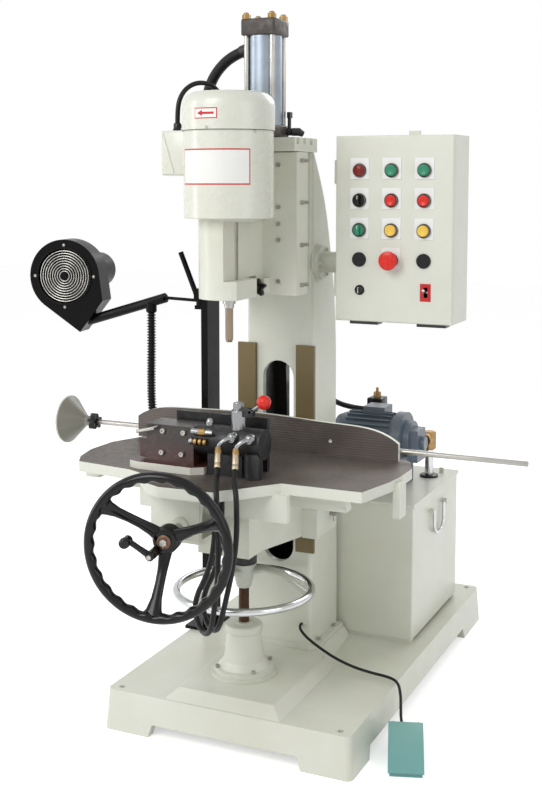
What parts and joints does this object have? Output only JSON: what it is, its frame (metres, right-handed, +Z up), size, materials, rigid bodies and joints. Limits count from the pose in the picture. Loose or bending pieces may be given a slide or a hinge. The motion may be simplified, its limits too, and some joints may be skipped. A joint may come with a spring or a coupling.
{
  "type": "hydraulic mortiser",
  "caption": "Floor-standing vertical mortiser: column on a cast base, sliding motor head, hydraulic ram, work clamp, fence, rising knee table, control box and foot pedal.",
  "frame": {"origin": "on the floor under the middle of the base, at the centre of the four anchor holes", "axes": "+Z up; +X to the operator's right, towards the control box; +Y from the operator to the back"},
  "size_m": [1.665, 1.5221, 1.955],
  "materials": {
    "ivory_paint": "satin machine enamel, pale grey-green ivory",
    "machined_iron": "fine-ribbed machined cast iron with an oil film",
    "scraped_ways": "hand-scraped brown-olive way strips",
    "dark_iron": "blackened brown clamp iron",
    "bright_steel": "turned steel",
    "chrome": "polished chrome",
    "black_enamel": "gloss black enamel",
    "black_rubber": "matt black rubber hose",
    "black_plastic": "gloss black plastic",
    "motor_shell": "light ivory enamel on the spindle motor",
    "pump_paint": "blue-grey painted finned motor",
    "cylinder_tube": "blue-grey anodised cylinder tube",
    "cap_iron": "black oxide cylinder caps",
    "brass": "brass fittings",
    "teal_paint": "teal hammered paint",
    "green_plastic": "green push button",
    "red_plastic": "red push button",
    "yellow_plastic": "yellow push button",
    "black_cable": "black cable sheath"
  },
  "bodies": {
    "frame": {"base_casting": "ivory_paint", "column_casting": "ivory_paint", "way_strips": "scraped_ways", "screw_pedestal": "ivory_paint", "frame_bolts": "bright_steel", "cylinder_barrel": "cylinder_tube", "cylinder_caps": "cap_iron", "cylinder_fittings": "dark_iron", "cylinder_hose": "black_rubber", "tank_body": "ivory_paint", "pump_motor": "pump_paint", "tank_fittings": "brass", "pressure_hose": "black_rubber", "control_arm": "ivory_paint", "box_shell": "ivory_paint", "blower_post": "black_enamel", "footswitch_body": "teal_paint", "pedal_cable": "black_cable"},
    "head": {"head_slide": "ivory_paint", "motor_housing": "motor_shell", "motor_cable": "black_cable", "head_screws": "bright_steel"},
    "spindle_group": {"spindle": "bright_steel", "mortise_bit": "bright_steel"},
    "depth_stop": {"depth_stop_knob": "black_plastic"},
    "knee": {"knee_casting": "ivory_paint"},
    "elevating": {"elevating_screw": "bright_steel", "elevating_wheel": "chrome"},
    "knee_lock": {"knee_lock_screw": "bright_steel"},
    "table": {"table_casting": "machined_iron", "fence": "machined_iron", "clamp_base": "dark_iron", "clamp_cylinder": "black_enamel", "clamp_fittings": "brass", "clamp_hose_left": "black_rubber", "clamp_hose_right": "black_rubber"},
    "handwheel": {"feed_handwheel": "black_enamel"},
    "handwheel_handle": {"folding_handle": "black_plastic"},
    "jaw": {"clamp_jaw": "dark_iron"},
    "clamp_valve": {"valve_lever": "red_plastic"},
    "stop": {"stop_rod": "bright_steel"},
    "blower": {"blower_head": "black_enamel", "blower_hose": "black_rubber", "blower_nozzle": "black_plastic"},
    "impeller": {"blower_impeller": "bright_steel"},
    "door": {"box_door": "ivory_paint", "control_rings": "chrome"},
    "tank_bail": {"tank_handle": "chrome"},
    "pedal": {"foot_pedal": "teal_paint"},
    "button_green_left_body": {"button_green_left": "green_plastic"},
    "button_green_right_body": {"button_green_right": "green_plastic"},
    "button_red_left_body": {"button_red_left": "red_plastic"},
    "button_red_right_body": {"button_red_right": "red_plastic"},
    "button_yellow_left_body": {"button_yellow_left": "yellow_plastic"},
    "button_yellow_right_body": {"button_yellow_right": "yellow_plastic"},
    "emergency_stop_body": {"emergency_stop": "red_plastic"},
    "selector_black_body": {"selector_black": "black_plastic"},
    "selector_green_body": {"selector_green": "green_plastic"},
    "key_lock_body": {"key_lock": "chrome"},
    "toggle_lever_body": {"toggle_lever": "chrome"}
  },
  "joints": [
    {"name": "head_feed", "type": "slide", "parent": "frame", "child": "head", "axis": [0, 0, 1], "range_m": [-0.15, 0]},
    {"name": "spindle_turn", "type": "hinge", "parent": "head", "child": "spindle_group", "pos_m": [-0.036, -0.5, 1.3], "axis": [0, 0, 1], "continuous": true},
    {"name": "depth_stop_turn", "type": "hinge", "parent": "head", "child": "depth_stop", "pos_m": [-0.008, -0.376, 1.212], "axis": [0, 1, 0], "range_deg": [-150, 150]},
    {"name": "knee_lift", "type": "slide", "parent": "frame", "child": "knee", "axis": [0, 0, 1], "range_m": [-0.055, 0.06]},
    {"name": "elevating_turn", "type": "hinge", "parent": "knee", "child": "elevating", "pos_m": [-0.036, -0.415, 0.377], "axis": [0, 0, 1], "range_deg": [-2460, 2690]},
    {"name": "knee_lock_turn", "type": "hinge", "parent": "knee", "child": "knee_lock", "pos_m": [0.13, -0.19, 0.552], "axis": [1, 0, 0], "range_deg": [-60, 60]},
    {"name": "table_feed", "type": "slide", "parent": "knee", "child": "table", "axis": [1, 0, 0], "range_m": [-0.055, 0.055]},
    {"name": "handwheel_turn", "type": "hinge", "parent": "knee", "child": "handwheel", "pos_m": [-0.06, -0.845, 0.61], "axis": [0.2164, -0.9763, 0], "range_deg": [-126, 126]},
    {"name": "handle_fold", "type": "hinge", "parent": "handwheel", "child": "handwheel_handle", "pos_m": [-0.08148, -0.84976, 0.586], "axis": [0.2164, -0.9763, 0], "range_deg": [0, 90]},
    {"name": "jaw_press", "type": "slide", "parent": "table", "child": "jaw", "axis": [0, 1, 0], "range_m": [0, 0.04]},
    {"name": "clamp_valve_turn", "type": "hinge", "parent": "table", "child": "clamp_valve", "pos_m": [0.055, -0.556, 0.906], "axis": [0, 1, 0], "range_deg": [-10, 25]},
    {"name": "stop_rod_slide", "type": "slide", "parent": "table", "child": "stop", "axis": [1, 0, 0], "range_m": [-0.1, 0.15]},
    {"name": "blower_swing", "type": "hinge", "parent": "frame", "child": "blower", "pos_m": [-0.35, -0.07, 1.14], "axis": [0, 0, 1], "range_deg": [-20, 25]},
    {"name": "impeller_spin", "type": "hinge", "parent": "blower", "child": "impeller", "pos_m": [-0.831, -0.098, 1.1955], "axis": [0.2079, -0.9781, 0], "continuous": true},
    {"name": "door_swing", "type": "hinge", "parent": "frame", "child": "door", "pos_m": [0.1505, -0.2075, 1.369], "axis": [0, 0, -1], "range_deg": [0, 90]},
    {"name": "button_green_left_press", "type": "slide", "parent": "door", "child": "button_green_left_body", "axis": [0, 1, 0], "range_m": [0, 0.004], "stiffness_N_per_m": 400},
    {"name": "button_green_right_press", "type": "slide", "parent": "door", "child": "button_green_right_body", "axis": [0, 1, 0], "range_m": [0, 0.004], "stiffness_N_per_m": 400},
    {"name": "button_red_left_press", "type": "slide", "parent": "door", "child": "button_red_left_body", "axis": [0, 1, 0], "range_m": [0, 0.004], "stiffness_N_per_m": 400},
    {"name": "button_red_right_press", "type": "slide", "parent": "door", "child": "button_red_right_body", "axis": [0, 1, 0], "range_m": [0, 0.004], "stiffness_N_per_m": 400},
    {"name": "button_yellow_left_press", "type": "slide", "parent": "door", "child": "button_yellow_left_body", "axis": [0, 1, 0], "range_m": [0, 0.004], "stiffness_N_per_m": 400},
    {"name": "button_yellow_right_press", "type": "slide", "parent": "door", "child": "button_yellow_right_body", "axis": [0, 1, 0], "range_m": [0, 0.004], "stiffness_N_per_m": 400},
    {"name": "emergency_stop_press", "type": "slide", "parent": "door", "child": "emergency_stop_body", "axis": [0, 1, 0], "range_m": [0, 0.005], "stiffness_N_per_m": 600},
    {"name": "selector_black_turn", "type": "hinge", "parent": "door", "child": "selector_black_body", "pos_m": [0.226, -0.225, 1.448], "axis": [0, 1, 0], "range_deg": [-45, 45]},
    {"name": "selector_green_turn", "type": "hinge", "parent": "door", "child": "selector_green_body", "pos_m": [0.226, -0.225, 1.367], "axis": [0, 1, 0], "range_deg": [-45, 45]},
    {"name": "key_turn", "type": "hinge", "parent": "door", "child": "key_lock_body", "pos_m": [0.228, -0.225, 1.202], "axis": [0, 1, 0], "range_deg": [0, 90]},
    {"name": "toggle_flip", "type": "hinge", "parent": "door", "child": "toggle_lever_body", "pos_m": [0.416, -0.217, 1.201], "axis": [1, 0, 0], "range_deg": [0, 28]},
    {"name": "pedal_press", "type": "hinge", "parent": "frame", "child": "pedal", "pos_m": [0.42903, -0.39176, 0.042], "axis": [0.9478, 0.319, 0], "range_deg": [0, 2.9], "stiffness_Nm_per_rad": 20, "springref_deg": -3.44},
    {"name": "tank_handle_lift", "type": "hinge", "parent": "frame", "child": "tank_bail", "pos_m": [0.317, 0.27, 0.48], "axis": [0, -1, 0], "range_deg": [0, 90]}
  ],
  "couplings": [
    {"joint": "knee_lift", "follows": "elevating_turn", "m_per_rad": 0.0012732},
    {"joint": "table_feed", "follows": "handwheel_turn", "m_per_rad": -0.024}
  ]
}
